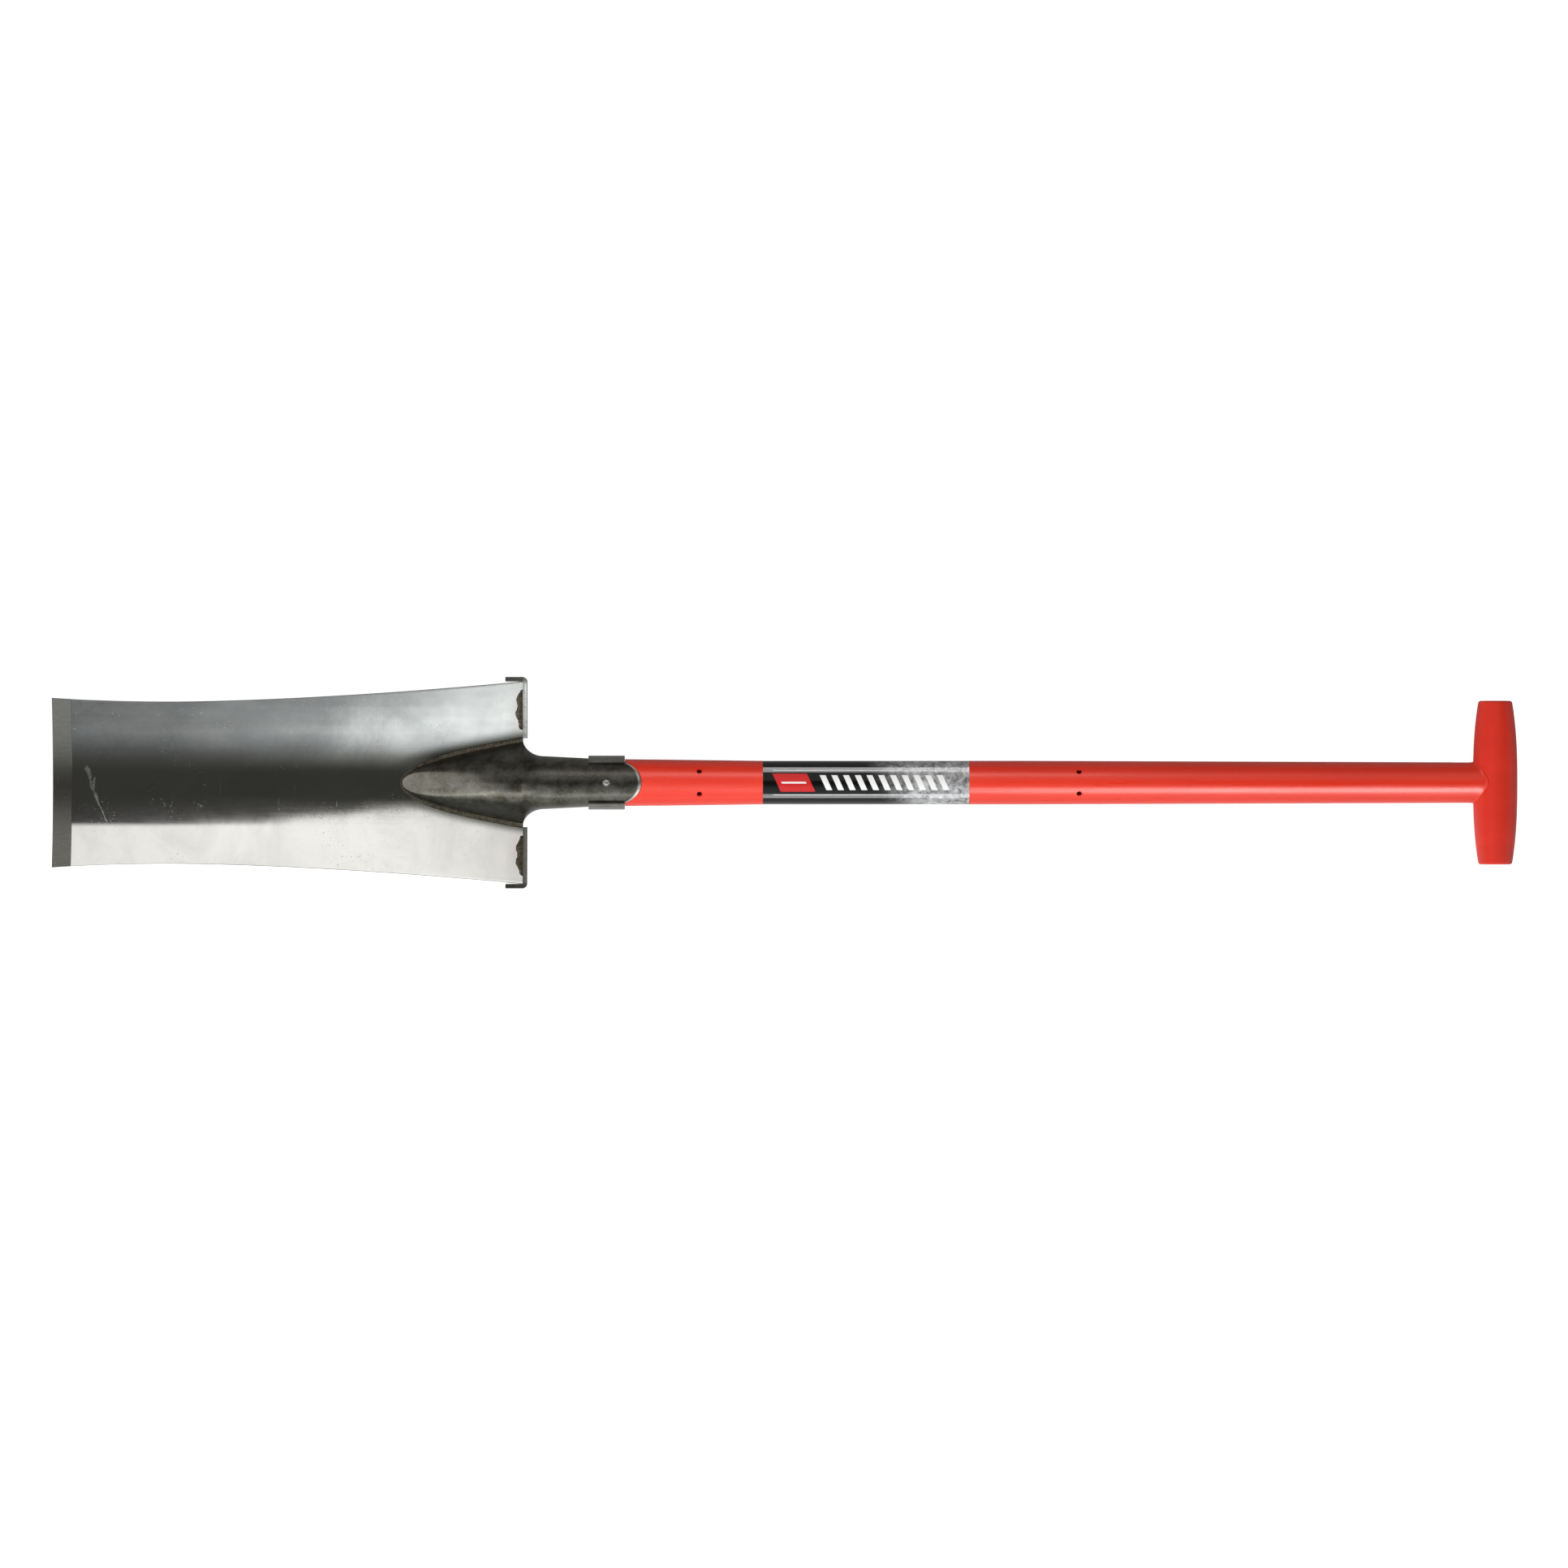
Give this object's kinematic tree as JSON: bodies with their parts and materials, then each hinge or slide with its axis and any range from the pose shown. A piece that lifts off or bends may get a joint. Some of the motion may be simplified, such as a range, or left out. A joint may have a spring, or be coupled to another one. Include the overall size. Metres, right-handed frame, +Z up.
{
  "type": "trenching spade",
  "caption": "Trenching spade: long narrow dished steel blade with treads on its shoulders, a welded riveted socket and a moulded plastic shaft with a cross grip.",
  "frame": {"origin": "on the floor under the middle of the spade's length, as the spade lies on its back", "axes": "+X from the cutting edge to the grip along the shaft, +Y to the left tread, +Z up, the way the blade's hollow face looks"},
  "size_m": [1.1916, 0.1718, 0.0465],
  "materials": {
    "blade": "polished steel with fine grinding marks",
    "tread": "clear dark lacquer on mill scale, worn bright on the front edge",
    "weld": "rough weld metal under lacquer",
    "socket": "dark lacquered forging",
    "collar": "dark lacquered strip",
    "rivet": "bright domed head",
    "core": "drawn glass fibre rod",
    "sleeve": "semi-gloss moulded red",
    "label": "printed film",
    "grip": "semi-gloss moulded red",
    "bar": "plain drawn bar"
  },
  "bodies": {
    "root": {"blade": "blade", "left_tread": "tread", "right_tread": "tread", "left_tread_weld": "weld", "right_tread_weld": "weld", "socket": "socket", "leaf_weld": "weld", "collar": "collar", "rivet": "rivet", "shaft_core": "core", "shaft_sleeve": "sleeve", "label": "label", "grip": "grip", "grip_bar": "bar"}
  },
  "joints": []
}
